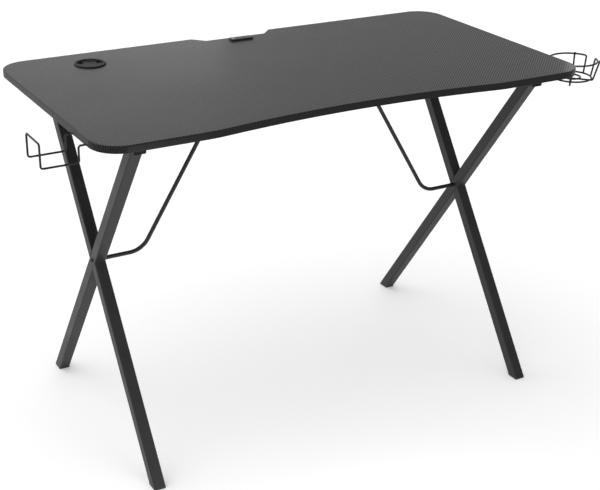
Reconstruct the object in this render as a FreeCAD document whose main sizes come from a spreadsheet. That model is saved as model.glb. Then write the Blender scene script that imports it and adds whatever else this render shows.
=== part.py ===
import FreeCAD, Part
import math
import os
import re
import Sketcher

# Gaming desk: a film-covered board on two welded X frames of square tube, braced by bent rods.
# Right-handed frame in millimetres. +Z is up from the floor, +X is to the sitter's right and
# +Y points away from the sitter. The origin is on the floor, midway between the four feet.

sizes = {
    # Worktop board
    "top_width": 1120,
    "top_depth": 600,
    "top_thick": 15,
    "top_height": 750,
    "top_corner": 60,
    "top_round": 2,
    "under_round": 1,
    "front_cut_width": 660,
    "front_cut_depth": 26,
    "front_shoulder": 300,
    "notch_width": 200,
    "notch_floor": 150,
    "notch_depth": 27,
    "notch_round": 6,
    # X frames of square tube
    "frame_inset": 82,
    "tube_side": 25,
    "tube_wall": 1.5,
    "tube_round": 2.5,
    "rail_inset": 49,
    "head_inset": 28.5,
    "foot_inset": 20,
    "glide_thick": 3,
    "plug_depth": 14,
    "plug_play": 0.1,
    "cap_thick": 2,
    # Rail bolts and the threaded inserts that they screw into
    "bolt_pitch": 150,
    "bolt_thick": 6,
    "bolt_bite": 9,
    "bolt_head_wide": 11,
    "bolt_head_high": 3.3,
    "bolt_key": 4,
    "bolt_key_deep": 2,
    "insert_wide": 9,
    "insert_long": 11,
    "hole_play": 0.2,
    # Bent rod braces
    "brace_thick": 9,
    "brace_run": 88,
    "brace_lean": 205,
    "brace_bend": 50,
    "brace_bolt_thick": 5,
    "brace_bolt_bite": 14,
    "brace_head_wide": 10,
    "brace_head_high": 3,
    "brace_key": 3,
    "brace_key_deep": 1.6,
    # Screwed steel plates
    "plate_thick": 2,
    "plate_corner": 5,
    "brace_plate_long": 62,
    "brace_plate_wide": 30,
    "brace_screw_pitch": 44,
    "screw_thick": 3.5,
    "screw_bite": 10,
    "screw_head_wide": 7,
    "screw_head_high": 2.2,
    "screw_slot_wide": 1,
    "screw_slot_long": 3.8,
    "screw_slot_deep": 1.2,
    # Wire accessories on the two ends
    "wire_thick": 4,
    "weld_gap": 0.15,
    "hook_from_front": 124,
    "hook_spread": 70,
    "hook_standoff": 8,
    "hook_drop": 32.5,
    "hook_reach": 73,
    "hook_rise": 47,
    "hook_bend": 5,
    "hook_plate_long": 92,
    "hook_plate_wide": 46,
    "hook_plate_inset": 8,
    "hook_screw_pitch": 36,
    "cup_from_front": 120.5,
    "cup_standoff": 68,
    "cup_rim_radius": 54.5,
    "cup_base_radius": 44.6,
    "cup_inner_radius": 20,
    "cup_depth": 39.6,
    "cup_gap_angle": 30,
    "cup_bend": 5,
    "cradle_bend": 4,
    "cradle_rise": 2.5,
    "cradle_angle": 45,
    "cup_plate_long": 60,
    "cup_plate_under": 52,
    "cup_screw_pitch": 36,
    # Cable grommet with its turning cap
    "grommet_from_side": 179.5,
    "grommet_from_back": 88,
    "grommet_hole": 60.6,
    "flange_wide": 68.4,
    "flange_high": 3,
    "flange_bevel": 1.6,
    "sleeve_wall": 2.5,
    "sleeve_past": 2,
    "seat_deep": 2.2,
    "seat_thick": 2,
    "seat_ledge": 3,
    "cap_play": 0.3,
    "cap_rest": 0.15,
    "cap_high": 2.4,
    "cap_dish": 0.6,
    "cap_dish_rim": 6,
    "skirt_wall": 1.6,
    "skirt_long": 4,
    "cable_slot_wide": 16,
    "cable_slot_inset": 3,
    "first_slot_angle": 15,
    "second_slot_angle": 135,
    "tab_angle": 78,
    "tab_wide": 3,
    "tab_long": 6,
    "tab_high": 2.2,
    "tab_inset": 1,
    # Light controller in front of the notch
    "box_across": 2.5,
    "box_back": 13,
    "box_wide": 55,
    "box_deep": 20,
    "box_high": 4,
    "box_wall": 0.8,
    "box_corner": 3,
    "box_round": 0.5,
    "button_wide": 8,
    "button_deep": 13,
    "button_inset": 2.6,
    "button_play": 0.25,
    "button_proud": 0.4,
    "button_travel": 0.5,
    "button_flange": 0.8,
    "flange_thin": 0.4,
    "switch_side": 4.5,
    "press_gap": 0.1,
    "board_thick": 0.8,
    "board_play": 0.3,
    "inlet_wide": 8,
    "inlet_high": 1.4,
    "inlet_deep": 6,
    "inlet_wall": 0.3,
    # Light bar under the back edge
    "bar_inset": 60,
    "bar_deep": 12,
    "bar_high": 8,
    "bar_wall": 1,
    "bar_back": 34,
    "bar_cap": 2,
    "tape_thick": 0.5,
    "tape_play": 0.2,
    "chip_side": 3.5,
    "chip_high": 1.2,
    "chip_pitch": 33.3,
    "lens_thick": 1.5,
    # How far a cutting shape runs past what it cuts
    "overrun": 5,
}

doc = FreeCAD.newDocument("gaming_desk")
sheet = doc.addObject("Spreadsheet::Sheet", "sizes")
for row, (alias, number) in enumerate(sizes.items(), start=1):
    sheet.set(f"A{row}", alias)
    sheet.set(f"B{row}", str(number))
    sheet.setAlias(f"B{row}", alias)
doc.recompute()

nodes = {}


def formula(text):
    """The expression with each size's name pointing at its cell."""
    return re.sub(r"[a-z_]+", lambda word: "sizes." * (word.group() in sizes) + word.group(), text)


def measure(text):
    """The number that an expression of sizes comes to."""
    return float(sheet.evalExpression(formula(text)))


def point(across, along, up):
    return FreeCAD.Vector(measure(across), measure(along), measure(up))


# Places, heights and the lean of the legs, which many pieces share
frame_width = "(top_width - 2 * frame_inset)"
rail_length = "(top_depth - 2 * rail_inset)"
head_spread = f"({rail_length} - 2 * head_inset)"
foot_spread = "(top_depth - 2 * foot_inset)"
underside = "(top_height - top_thick)"
rail_floor = f"({underside} - tube_side)"
lean = f"(({foot_spread} + {head_spread}) / (2 * {rail_floor}))"
lean_stretch = f"sqrt(1 + {lean}^2)"
half_slice = f"(tube_side / 2 * {lean_stretch})"
half_bore = f"((tube_side / 2 - tube_wall) * {lean_stretch})"
cross_height = f"({foot_spread} / (2 * {lean}))"
frame_place = f"(({frame_width} - tube_side) / 2)"
brace_knee = f"({frame_width} / 2 - tube_side - brace_run)"
brace_reach = f"({brace_knee} - brace_lean)"
hook_place = "(hook_from_front - top_depth / 2)"
cup_place = "(cup_from_front - top_depth / 2)"
grommet_across = "(grommet_from_side - top_width / 2)"
grommet_along = "(top_depth / 2 - grommet_from_back)"
plate_floor = f"({underside} - plate_thick)"
wire_height = f"({plate_floor} - wire_thick / 2)"


def new_body(name):
    body = doc.addObject("PartDesign::Body", name)
    body.Label = name
    return body


def keep(name, piece):
    """Lists a finished piece under its node's name."""
    piece.Label = name
    nodes[name] = piece


def place(piece, across, along, up):
    for axis, text in zip("xyz", (across, along, up)):
        piece.setExpression(f"Placement.Base.{axis}", formula(text))


def sketch_on(body, role, offset="0"):
    plane = next(item for item in body.Origin.OriginFeatures if item.Role == role)
    sketch = body.newObject("Sketcher::SketchObject", body.Name + "_sketch")
    sketch.AttachmentSupport = [(plane, "")]
    sketch.MapMode = "FlatFace"
    sketch.setExpression("AttachmentOffset.Base.z", formula(offset))
    return sketch


def pin(sketch, item, end, across, up):
    """Fixes one point of a sketch by two expressions."""
    for kind, text in (("DistanceX", across), ("DistanceY", up)):
        index = sketch.addConstraint(Sketcher.Constraint(kind, -1, 1, item, end, measure(text)))
        sketch.setExpression(f"Constraints[{index}]", formula(text))


def polygon(sketch, corners):
    """A closed outline with straight sides, each corner a pair of expressions."""
    first = sketch.GeometryCount
    spots = [FreeCAD.Vector(measure(across), measure(up), 0) for across, up in corners]
    for spot, following in zip(spots, spots[1:] + spots[:1]):
        sketch.addGeometry(Part.LineSegment(spot, following), False)
    for step, (across, up) in enumerate(corners):
        following = first + (step + 1) % len(corners)
        sketch.addConstraint(Sketcher.Constraint("Coincident", first + step, 2, following, 1))
        pin(sketch, first + step, 1, across, up)


def rectangle(sketch, wide, high, across="0", up="0"):
    left, right = f"{across} - ({wide}) / 2", f"{across} + ({wide}) / 2"
    low, top = f"{up} - ({high}) / 2", f"{up} + ({high}) / 2"
    polygon(sketch, [(left, low), (right, low), (right, top), (left, top)])


def circle(sketch, wide, across="0", up="0"):
    centre = FreeCAD.Vector(measure(across), measure(up), 0)
    item = sketch.addGeometry(Part.Circle(centre, FreeCAD.Vector(0, 0, 1), measure(wide) / 2), False)
    pin(sketch, item, 3, across, up)
    index = sketch.addConstraint(Sketcher.Constraint("Diameter", item, measure(wide)))
    sketch.setExpression(f"Constraints[{index}]", formula(wide))


def extrude(body, kind, sketch, length, both_ways=False, flip=False):
    feature = body.newObject("PartDesign::" + kind, body.Name + "_" + kind.lower())
    feature.Profile = sketch
    feature.setExpression("Length", formula(length))
    feature.SideType = "Symmetric" if both_ways else "One side"
    feature.Reversed = flip
    doc.recompute()
    return feature


def pad(body, sketch, length, **ways):
    return extrude(body, "Pad", sketch, length, **ways)


def pocket(body, sketch, length, **ways):
    """Cuts, and stops the build if the cut misses the solid."""
    before = body.Shape.Volume
    feature = extrude(body, "Pocket", sketch, length, **ways)
    if feature.Shape.Volume >= before:
        raise RuntimeError(f"{body.Label}: {sketch.Label} cuts nothing")
    return feature


def revolve(body, sketch):
    feature = body.newObject("PartDesign::Revolution", body.Name + "_revolution")
    feature.Profile = sketch
    feature.ReferenceAxis = (sketch, ["V_Axis"])
    doc.recompute()
    return feature


def round_edges(body, feature, wanted, radius):
    """Fillets the edges of a feature that the test picks."""
    edges = [f"Edge{n}" for n, edge in enumerate(feature.Shape.Edges, start=1) if wanted(edge)]
    fillet = body.newObject("PartDesign::Fillet", body.Name + "_fillet")
    fillet.Base = (feature, edges)
    fillet.setExpression("Radius", formula(radius))
    doc.recompute()
    return fillet


def runs_along(edge, direction):
    if edge.Curve.TypeId != "Part::GeomLine":
        return False
    return edge.tangentAt(edge.FirstParameter).cross(direction).Length < edge.Tolerance


def lies_at(edge, height):
    box = edge.BoundBox
    return max(abs(box.ZMin - height), abs(box.ZMax - height)) < edge.Tolerance


def stands_at(edge, across, along):
    """True for an upright edge near a place, or near its mirror image across X."""
    centre = edge.BoundBox.Center
    aside = abs(abs(centre.x) - measure(across)) + abs(centre.y - measure(along))
    return runs_along(edge, upright) and aside < measure("top_thick")


upright = FreeCAD.Vector(0, 0, 1)


def group(name, pattern, placements):
    """Identical pieces in one node, each a solid of its own."""
    copies = []
    for placement in placements:
        copy = pattern.Shape.copy()
        copy.Placement = placement.multiply(copy.Placement)
        copies.append(copy)
    piece = doc.addObject("Part::Feature", name)
    piece.Shape = Part.Compound(copies)
    keep(name, piece)


def moved(across, along, up, turn=None):
    return FreeCAD.Placement(point(across, along, up), turn or FreeCAD.Rotation())


# Worktop board

front_radius = "((front_cut_width^2 / 4 + front_cut_depth^2) / (2 * front_cut_depth))"
bolt_rows = ("-bolt_pitch", "0", "bolt_pitch")
hook_plate_across = "(-top_width / 2 + hook_plate_inset + hook_plate_wide / 2)"
cup_plate_across = "(top_width / 2 - cup_plate_under / 2)"

screw_spots = []
for side in "-", "":
    for turn in "-", "+":
        screw_spots.append((f"{side}{brace_reach} {turn} brace_screw_pitch / 2", "0"))
for turn in "-", "+":
    screw_spots.append((hook_plate_across, f"{hook_place} {turn} hook_screw_pitch / 2"))
    screw_spots.append((cup_plate_across, f"{cup_place} {turn} cup_screw_pitch / 2"))

rail_spots = [(side + frame_place, row) for side in ("-", "") for row in bolt_rows]


def top_panel():
    """A board with round corners, a curved front and a cable notch in the back edge."""
    body = new_body("top_panel")
    outline = sketch_on(body, "XY_Plane")
    rectangle(outline, "top_width", "top_depth")
    board = pad(body, outline, "top_thick")
    rounded = round_edges(body, board, lambda edge: runs_along(edge, upright), "top_corner")
    front = sketch_on(body, "XY_Plane")
    circle(front, f"2 * {front_radius}", up=f"front_cut_depth - top_depth / 2 - {front_radius}")
    curved = pocket(body, front, "top_thick", flip=True)
    shoulders = round_edges(
        body, curved, lambda edge: stands_at(edge, "front_cut_width / 2", "-top_depth / 2"), "front_shoulder"
    )
    notch = sketch_on(body, "XY_Plane")
    back, floor = "top_depth / 2", "top_depth / 2 - notch_depth"
    flare = "overrun * (notch_width - notch_floor) / (2 * notch_depth)"
    polygon(notch, [
        ("-notch_floor / 2", floor),
        ("notch_floor / 2", floor),
        (f"notch_width / 2 + {flare}", f"{back} + overrun"),
        (f"-notch_width / 2 - {flare}", f"{back} + overrun"),
    ])
    notched = pocket(body, notch, "top_thick", flip=True)
    eased = round_edges(
        body,
        notched,
        lambda edge: stands_at(edge, "notch_floor / 2", floor) or stands_at(edge, "notch_width / 2", back),
        "notch_round",
    )
    wrapped = round_edges(body, eased, lambda edge: lies_at(edge, measure("top_thick")), "top_round")
    round_edges(body, wrapped, lambda edge: lies_at(edge, 0), "under_round")
    holes = sketch_on(body, "XY_Plane")
    circle(holes, "grommet_hole", grommet_across, grommet_along)
    pocket(body, holes, "top_thick", flip=True)
    sockets = sketch_on(body, "XY_Plane")
    for across, along in rail_spots:
        circle(sockets, "insert_wide + hole_play", across, along)
    pocket(body, sockets, "insert_long", flip=True)
    pilots = sketch_on(body, "XY_Plane")
    for across, along in screw_spots:
        circle(pilots, "screw_thick + hole_play", across, along)
    pocket(body, pilots, "screw_bite + hole_play", flip=True)
    place(body, "0", "0", underside)
    keep("top_panel", body)


# X frames

def square_tube(body, feature, direction, bore):
    """Rounds a square bar along its length and bores it out."""
    round_edges(body, feature, lambda edge: runs_along(edge, direction), "tube_round")
    pocket(body, bore, "tube_side - 2 * tube_wall", both_ways=True)


def top_rail(name, side):
    """The tube that the two legs are welded under, bolted to the board from below."""
    body = new_body(name)
    outline = sketch_on(body, "YZ_Plane")
    rectangle(outline, f"{rail_length} - 2 * cap_thick", "tube_side")
    bar = pad(body, outline, "tube_side", both_ways=True)
    bore = sketch_on(body, "YZ_Plane")
    rectangle(bore, f"{rail_length} + overrun", "tube_side - 2 * tube_wall")
    square_tube(body, bar, FreeCAD.Vector(0, 1, 0), bore)
    holes = sketch_on(body, "XY_Plane")
    for row in bolt_rows:
        circle(holes, "bolt_thick + hole_play", "0", row)
    pocket(body, holes, "tube_side + overrun", both_ways=True)
    place(body, side + frame_place, "0", f"{underside} - tube_side / 2")
    keep(name, body)


def leaning_line(foot, shift, height):
    """Where a leg's face is at a height: foot is + for the leg that stands at the back."""
    away = "-" if foot == "+" else "+"
    return f"{foot}({foot_spread} / 2) {away} {lean} * ({height}) + {shift}"


def leg(name, side, foot, corners, low, high, bolt_hole=False):
    """A leaning tube, cut level at the floor or rail and flush where it meets the other leg."""
    body = new_body(name)
    outline = sketch_on(body, "YZ_Plane")
    polygon(outline, corners)
    bar = pad(body, outline, "tube_side", both_ways=True)
    bore = sketch_on(body, "YZ_Plane")
    below, above = f"{low} - overrun", f"{high} + overrun"
    polygon(bore, [
        (leaning_line(foot, f"-{half_bore}", below), below),
        (leaning_line(foot, half_bore, below), below),
        (leaning_line(foot, half_bore, above), above),
        (leaning_line(foot, f"-{half_bore}", above), above),
    ])
    rise = measure(lean) * (-1 if foot == "+" else 1)
    square_tube(body, bar, FreeCAD.Vector(0, rise, 1).normalize(), bore)
    if bolt_hole:
        hole = sketch_on(body, "YZ_Plane")
        circle(hole, "brace_bolt_thick + hole_play", "0", cross_height)
        pocket(body, hole, "tube_side + overrun", both_ways=True)
    place(body, side + frame_place, "0", "0")
    keep(name, body)


def side_frame(word, side):
    """One long leg, two half legs welded to its faces, and the rail on top."""
    top_rail(f"{word}_top_rail", side)
    low, high = "glide_thick", rail_floor
    leg(f"{word}_long_leg", side, "+", [
        (leaning_line("+", f"-{half_slice}", low), low),
        (leaning_line("+", half_slice, low), low),
        (leaning_line("+", half_slice, high), high),
        (leaning_line("+", f"-{half_slice}", high), high),
    ], low, high, bolt_hole=True)
    peak = f"{cross_height} + {half_slice} / {lean}"
    leg(f"{word}_upper_half_leg", side, "-", [
        (half_slice, cross_height),
        (leaning_line("-", half_slice, high), high),
        (leaning_line("-", f"-{half_slice}", high), high),
        ("0", peak),
    ], cross_height, high)
    dip = f"{cross_height} - {half_slice} / {lean}"
    leg(f"{word}_lower_half_leg", side, "-", [
        (f"-{half_slice}", cross_height),
        (leaning_line("-", f"-{half_slice}", low), low),
        (leaning_line("-", half_slice, low), low),
        ("0", dip),
    ], low, cross_height)


def foot_glide(name, side, foot):
    """A moulded foot: a flat sole under the cut tube and a plug that leans up into it."""
    body = new_body(name)
    sole = sketch_on(body, "YZ_Plane")
    front = leaning_line(foot, f"-{half_slice}", "glide_thick")
    back = leaning_line(foot, half_slice, "glide_thick")
    polygon(sole, [(front, "0"), (back, "0"), (back, "glide_thick"), (front, "glide_thick")])
    block = pad(body, sole, "tube_side", both_ways=True)
    round_edges(body, block, lambda edge: runs_along(edge, upright), "tube_round")
    plug = sketch_on(body, "YZ_Plane")
    snug = f"({half_bore} - plug_play)"
    top = "glide_thick + plug_depth"
    polygon(plug, [
        (leaning_line(foot, f"-{snug}", "glide_thick"), "glide_thick"),
        (leaning_line(foot, snug, "glide_thick"), "glide_thick"),
        (leaning_line(foot, snug, top), top),
        (leaning_line(foot, f"-{snug}", top), top),
    ])
    pad(body, plug, "tube_side - 2 * tube_wall - 2 * plug_play", both_ways=True)
    place(body, side + frame_place, "0", "0")
    keep(name, body)


def rail_end_caps():
    """Plastic plugs that close the four rail ends."""
    body = new_body("end_cap")
    face = sketch_on(body, "XZ_Plane")
    rectangle(face, "tube_side", "tube_side")
    cover = pad(body, face, "cap_thick")
    along = FreeCAD.Vector(0, 1, 0)
    round_edges(body, cover, lambda edge: runs_along(edge, along), "tube_round")
    plug = sketch_on(body, "XZ_Plane")
    snug = "tube_side - 2 * tube_wall - 2 * plug_play"
    rectangle(plug, snug, snug)
    pad(body, plug, "plug_depth", flip=True)
    turned = FreeCAD.Rotation(upright, 180)
    spots = []
    for side in "-", "":
        height = f"{underside} - tube_side / 2"
        spots.append(moved(side + frame_place, f"cap_thick - {rail_length} / 2", height))
        spots.append(moved(side + frame_place, f"{rail_length} / 2 - cap_thick", height, turned))
    group("rail_end_caps", body, spots)


# Fasteners

crown_share = 0.5
side_share = 0.35


def button_head_bolt(name, thick, length, head_wide, head_high, key="", key_deep=""):
    """A bolt that stands on its head: the shank points up from the head's flat side."""
    body = new_body(name)
    profile = sketch_on(body, "XZ_Plane")
    polygon(profile, [
        ("0", f"-{head_high}"),
        (f"{head_wide} / 2 - {head_high} * {crown_share}", f"-{head_high}"),
        (f"{head_wide} / 2", f"-{head_high} * {side_share}"),
        (f"{head_wide} / 2", "0"),
        (f"{thick} / 2", "0"),
        (f"{thick} / 2", length),
        ("0", length),
    ])
    revolve(body, profile)
    if key:
        socket = sketch_on(body, "XY_Plane", f"-{head_high}")
        reach = f"{key} / sqrt(3)"
        polygon(socket, [(f"{reach} * cos({turn})", f"{reach} * sin({turn})") for turn in range(0, 360, 60)])
        pocket(body, socket, key_deep, flip=True)
    return body


def fasteners():
    rail_bolt = button_head_bolt(
        "rail_bolt", "bolt_thick", "(tube_side + bolt_bite)", "bolt_head_wide", "bolt_head_high",
        "bolt_key", "bolt_key_deep",
    )
    group("rail_bolts", rail_bolt, [moved(across, along, rail_floor) for across, along in rail_spots])
    sleeve = new_body("insert")
    profile = sketch_on(sleeve, "XZ_Plane")
    inner, outer = "(bolt_thick + hole_play) / 2", "insert_wide / 2"
    polygon(profile, [(inner, "0"), (outer, "0"), (outer, "insert_long"), (inner, "insert_long")])
    revolve(sleeve, profile)
    group("rail_inserts", sleeve, [moved(across, along, underside) for across, along in rail_spots])
    brace_bolt = button_head_bolt(
        "brace_bolt", "brace_bolt_thick", "(tube_side + brace_bolt_bite)", "brace_head_wide",
        "brace_head_high", "brace_key", "brace_key_deep",
    )
    group("brace_bolts", brace_bolt, [
        moved(f"-{frame_width} / 2", "0", cross_height, FreeCAD.Rotation(FreeCAD.Vector(0, 1, 0), 90)),
        moved(f"{frame_width} / 2", "0", cross_height, FreeCAD.Rotation(FreeCAD.Vector(0, 1, 0), -90)),
    ])
    screw = button_head_bolt(
        "screw", "screw_thick", "(plate_thick + screw_bite)", "screw_head_wide", "screw_head_high"
    )
    cross = sketch_on(screw, "XY_Plane", "-screw_head_high")
    wide, long = "screw_slot_wide / 2", "screw_slot_long / 2"
    arm = [(long, f"-{wide}"), (long, wide), (wide, wide)]
    corners = list(arm)
    for quarter in range(3):
        arm = [(f"-({up})", across) for across, up in arm]
        corners += arm
    polygon(cross, corners)
    pocket(screw, cross, "screw_slot_deep", flip=True)
    group("plate_screws", screw, [moved(across, along, plate_floor) for across, along in screw_spots])


# Rod braces

def brace_rod(name, side):
    """A round bar from the frame's crossing, bent once, up to a plate under the board."""
    body = new_body(name)
    start = (f"{side}({frame_width} / 2 - tube_side)", cross_height)
    knee = (f"{side}{brace_knee}", cross_height)
    rise = f"({plate_floor} - {cross_height})"
    past = f"brace_thick / {rise}"
    end = (f"{side}({brace_reach} - brace_lean * {past})", f"{plate_floor} + brace_thick")
    path = sketch_on(body, "XZ_Plane")
    bent_line(path, start, knee, end, "brace_bend")
    section = sketch_on(body, "YZ_Plane", start[0])
    circle(section, "brace_thick", "0", cross_height)
    doc.recompute()
    rod = body.newObject("PartDesign::AdditivePipe", name + "_pipe")
    rod.Profile = section
    rod.Spine = (path, ["Edge1", "Edge2", "Edge3"])
    doc.recompute()
    trim = sketch_on(body, "XZ_Plane")
    rectangle(trim, "4 * brace_thick", "4 * brace_thick", end[0], f"{plate_floor} + 2 * brace_thick")
    pocket(body, trim, "2 * brace_thick", both_ways=True)
    bore = sketch_on(body, "YZ_Plane", start[0])
    circle(bore, "brace_bolt_thick + hole_play", "0", cross_height)
    pocket(body, bore, "brace_bolt_bite + hole_play", flip=side == "-")
    keep(name, body)


def bent_line(sketch, start, knee, end, radius):
    """Two straight runs joined by a tangent arc about the knee point."""
    spots = [FreeCAD.Vector(measure(across), measure(up), 0) for across, up in (start, knee, end)]
    to_start = (spots[0] - spots[1]).normalize()
    to_end = (spots[2] - spots[1]).normalize()
    half = to_start.getAngle(to_end) / 2
    reach = measure(radius) / math.tan(half)
    near, far = spots[1] + to_start * reach, spots[1] + to_end * reach
    middle = (to_start + to_end).normalize()
    hub = spots[1] + middle * (measure(radius) / math.sin(half))
    first = sketch.addGeometry(Part.LineSegment(spots[0], near), False)
    arc = sketch.addGeometry(Part.Arc(near, hub - middle * measure(radius), far), False)
    last = sketch.addGeometry(Part.LineSegment(far, spots[2]), False)
    corner = sketch.addGeometry(Part.Point(spots[1]), True)
    arc_start = 1 if sketch.getPoint(arc, 1).isEqual(near, measure("weld_gap")) else 2
    sketch.addConstraint(Sketcher.Constraint("Tangent", first, 2, arc, arc_start))
    sketch.addConstraint(Sketcher.Constraint("Tangent", arc, 3 - arc_start, last, 1))
    pin(sketch, first, 1, *start)
    pin(sketch, last, 2, *end)
    pin(sketch, corner, 1, *knee)
    sketch.addConstraint(Sketcher.Constraint("PointOnObject", corner, 1, first))
    sketch.addConstraint(Sketcher.Constraint("PointOnObject", corner, 1, last))
    index = sketch.addConstraint(Sketcher.Constraint("Radius", arc, measure(radius)))
    sketch.setExpression(f"Constraints[{index}]", formula(radius))


def screwed_plate(name, wide, deep, across, along, holes):
    """A flat steel plate against the underside of the board."""
    body = new_body(name)
    outline = sketch_on(body, "XY_Plane")
    rectangle(outline, wide, deep)
    sheet_metal = pad(body, outline, "plate_thick")
    round_edges(body, sheet_metal, lambda edge: runs_along(edge, upright), "plate_corner")
    drilled = sketch_on(body, "XY_Plane")
    for hole_across, hole_along in holes:
        circle(drilled, "screw_thick + hole_play", hole_across, hole_along)
    pocket(body, drilled, "plate_thick", flip=True)
    place(body, across, along, plate_floor)
    keep(name, body)


# Bent wire accessories

def bent_edges(spots, radius):
    """Straight runs through the spots with a tangent arc at each inner one."""
    edges = []
    here = spots[0]
    for before, corner, after in zip(spots, spots[1:], spots[2:]):
        back, ahead = (before - corner).normalize(), (after - corner).normalize()
        half = back.getAngle(ahead) / 2
        reach = radius / math.tan(half)
        middle = (back + ahead).normalize()
        crown = corner + middle * (radius / math.sin(half) - radius)
        near, far = corner + back * reach, corner + ahead * reach
        edges.append(Part.LineSegment(here, near).toShape())
        edges.append(Part.Arc(near, crown, far).toShape())
        here = far
    edges.append(Part.LineSegment(here, spots[-1]).toShape())
    return edges


def wire_sweep(name, edges):
    """A round wire along a path of runs and arcs."""
    path = doc.addObject("Part::Feature", name + "_path")
    path.Shape = Part.Wire(edges)
    start, heading = edges[0].valueAt(edges[0].FirstParameter), edges[0].tangentAt(edges[0].FirstParameter)
    section = doc.addObject("Part::Circle", name + "_section")
    section.setExpression("Radius", formula("wire_thick / 2"))
    section.Placement = FreeCAD.Placement(start, FreeCAD.Rotation(upright, heading))
    sweep = doc.addObject("Part::Sweep", name)
    sweep.Sections = [section]
    sweep.Spine = (path, [f"Edge{n}" for n in range(1, len(edges) + 1)])
    sweep.Solid = True
    doc.recompute()
    length = sum(edge.Length for edge in edges)
    expected = math.pi * measure("wire_thick") ** 2 / 4 * length
    print(f"{name}: {length:.0f} mm of wire, volume {sweep.Shape.Volume / expected:.4f} of section x length")
    keep(name, sweep)


def headset_hook():
    """One wire: out from under the board, down, out, up, across, and back the same way."""
    inner = f"{hook_plate_across} + hook_plate_wide / 2 - wire_thick"
    drop_line = "-(top_width / 2 + hook_standoff)"
    tip_line = f"{drop_line} - hook_reach"
    arm = f"{wire_height} - hook_drop"
    tip = f"{arm} + hook_rise"
    profile = [
        (inner, wire_height),
        (drop_line, wire_height),
        (drop_line, arm),
        (tip_line, arm),
        (tip_line, tip),
    ]
    front = [point(across, f"{hook_place} - hook_spread / 2", up) for across, up in profile]
    back = [point(across, f"{hook_place} + hook_spread / 2", up) for across, up in profile]
    wire_sweep("headset_hook", bent_edges(front + back[::-1], measure("hook_bend")))


cup_across = "(top_width / 2 + cup_standoff)"
cup_taper = "((cup_rim_radius - cup_base_radius) / cup_depth)"
cup_outside = f"((wire_thick + weld_gap) * sqrt(1 + {cup_taper}^2))"
cup_floor = f"({wire_height} - cup_depth)"


def cup_point(radius, angle, height):
    """A point of the basket by its distance from the axis and its angle from straight out."""
    spoke = FreeCAD.Vector(measure(radius), 0, 0)
    spoke = FreeCAD.Rotation(upright, angle).multVec(spoke)
    return point(cup_across, cup_place, height) + spoke


def cup_rim():
    """A ring open towards the side for a mug's handle, with both ends bent down to the base."""
    tangent_run = measure("2 * cup_bend")
    opening = measure("cup_gap_angle / 2")
    turn = math.degrees(tangent_run / measure("cup_rim_radius"))
    ends = []
    for sign in 1, -1:
        angle = sign * (opening + turn)
        touch = cup_point("cup_rim_radius", angle, wire_height)
        tangent = FreeCAD.Rotation(upright, angle).multVec(FreeCAD.Vector(0, -sign, 0))
        corner = touch + tangent * tangent_run
        foot = cup_point(f"cup_base_radius + {cup_outside}", sign * opening, cup_floor)
        ends.append([foot, corner, touch])
    first, last = ends
    far_side = cup_point("cup_rim_radius", 180, wire_height)
    edges = bent_edges(first, measure("cup_bend"))
    edges.append(Part.Arc(first[-1], far_side, last[-1]).toShape())
    edges += bent_edges(last[::-1], measure("cup_bend"))
    wire_sweep("cup_holder_rim", edges)


def cup_ring(name, radius):
    ring = doc.addObject("Part::Torus", name)
    ring.setExpression("Radius1", formula(radius))
    ring.setExpression("Radius2", formula("wire_thick / 2"))
    place(ring, cup_across, cup_place, cup_floor)
    keep(name, ring)


def cup_cradle(name, angle, layers):
    """A U of wire outside both rings, its bottom run a number of wires below the base ring."""
    drop = f"({layers} * (wire_thick + weld_gap))"
    rim_top = f"{wire_height} + cradle_rise"
    above = f"(cup_rim_radius + {cup_outside} + {cup_taper} * cradle_rise)"
    below = f"(cup_base_radius + {cup_outside} - {cup_taper} * {drop})"
    floor = f"{cup_floor} - {drop}"
    spots = [
        cup_point(above, angle, rim_top),
        cup_point(below, angle, floor),
        cup_point(below, angle + 180, floor),
        cup_point(above, angle + 180, rim_top),
    ]
    wire_sweep(name, bent_edges(spots, measure("cradle_bend")))


def cup_holder():
    cup_rim()
    cup_ring("cup_holder_base_ring", "cup_base_radius")
    cup_ring("cup_holder_inner_ring", "cup_inner_radius")
    cup_cradle("cup_holder_upper_cradle", -measure("cradle_angle"), 1)
    cup_cradle("cup_holder_lower_cradle", measure("cradle_angle"), 2)
    over_rim = "(cup_standoff - cup_rim_radius + wire_thick)"
    under = cup_plate_across + " - cup_plate_under / 2"
    long = f"(cup_plate_under + {over_rim})"
    middle = f"({under} + {long} / 2)"
    holes = [(f"{cup_plate_across} - {middle}", f"{turn} cup_screw_pitch / 2") for turn in ("-", "")]
    screwed_plate("cup_holder_plate", long, "cup_plate_long", middle, cup_place, holes)


# Cable grommet

bore_radius = "(grommet_hole / 2 - cap_play - sleeve_wall)"
ledge_radius = f"({bore_radius} - seat_ledge)"


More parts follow.
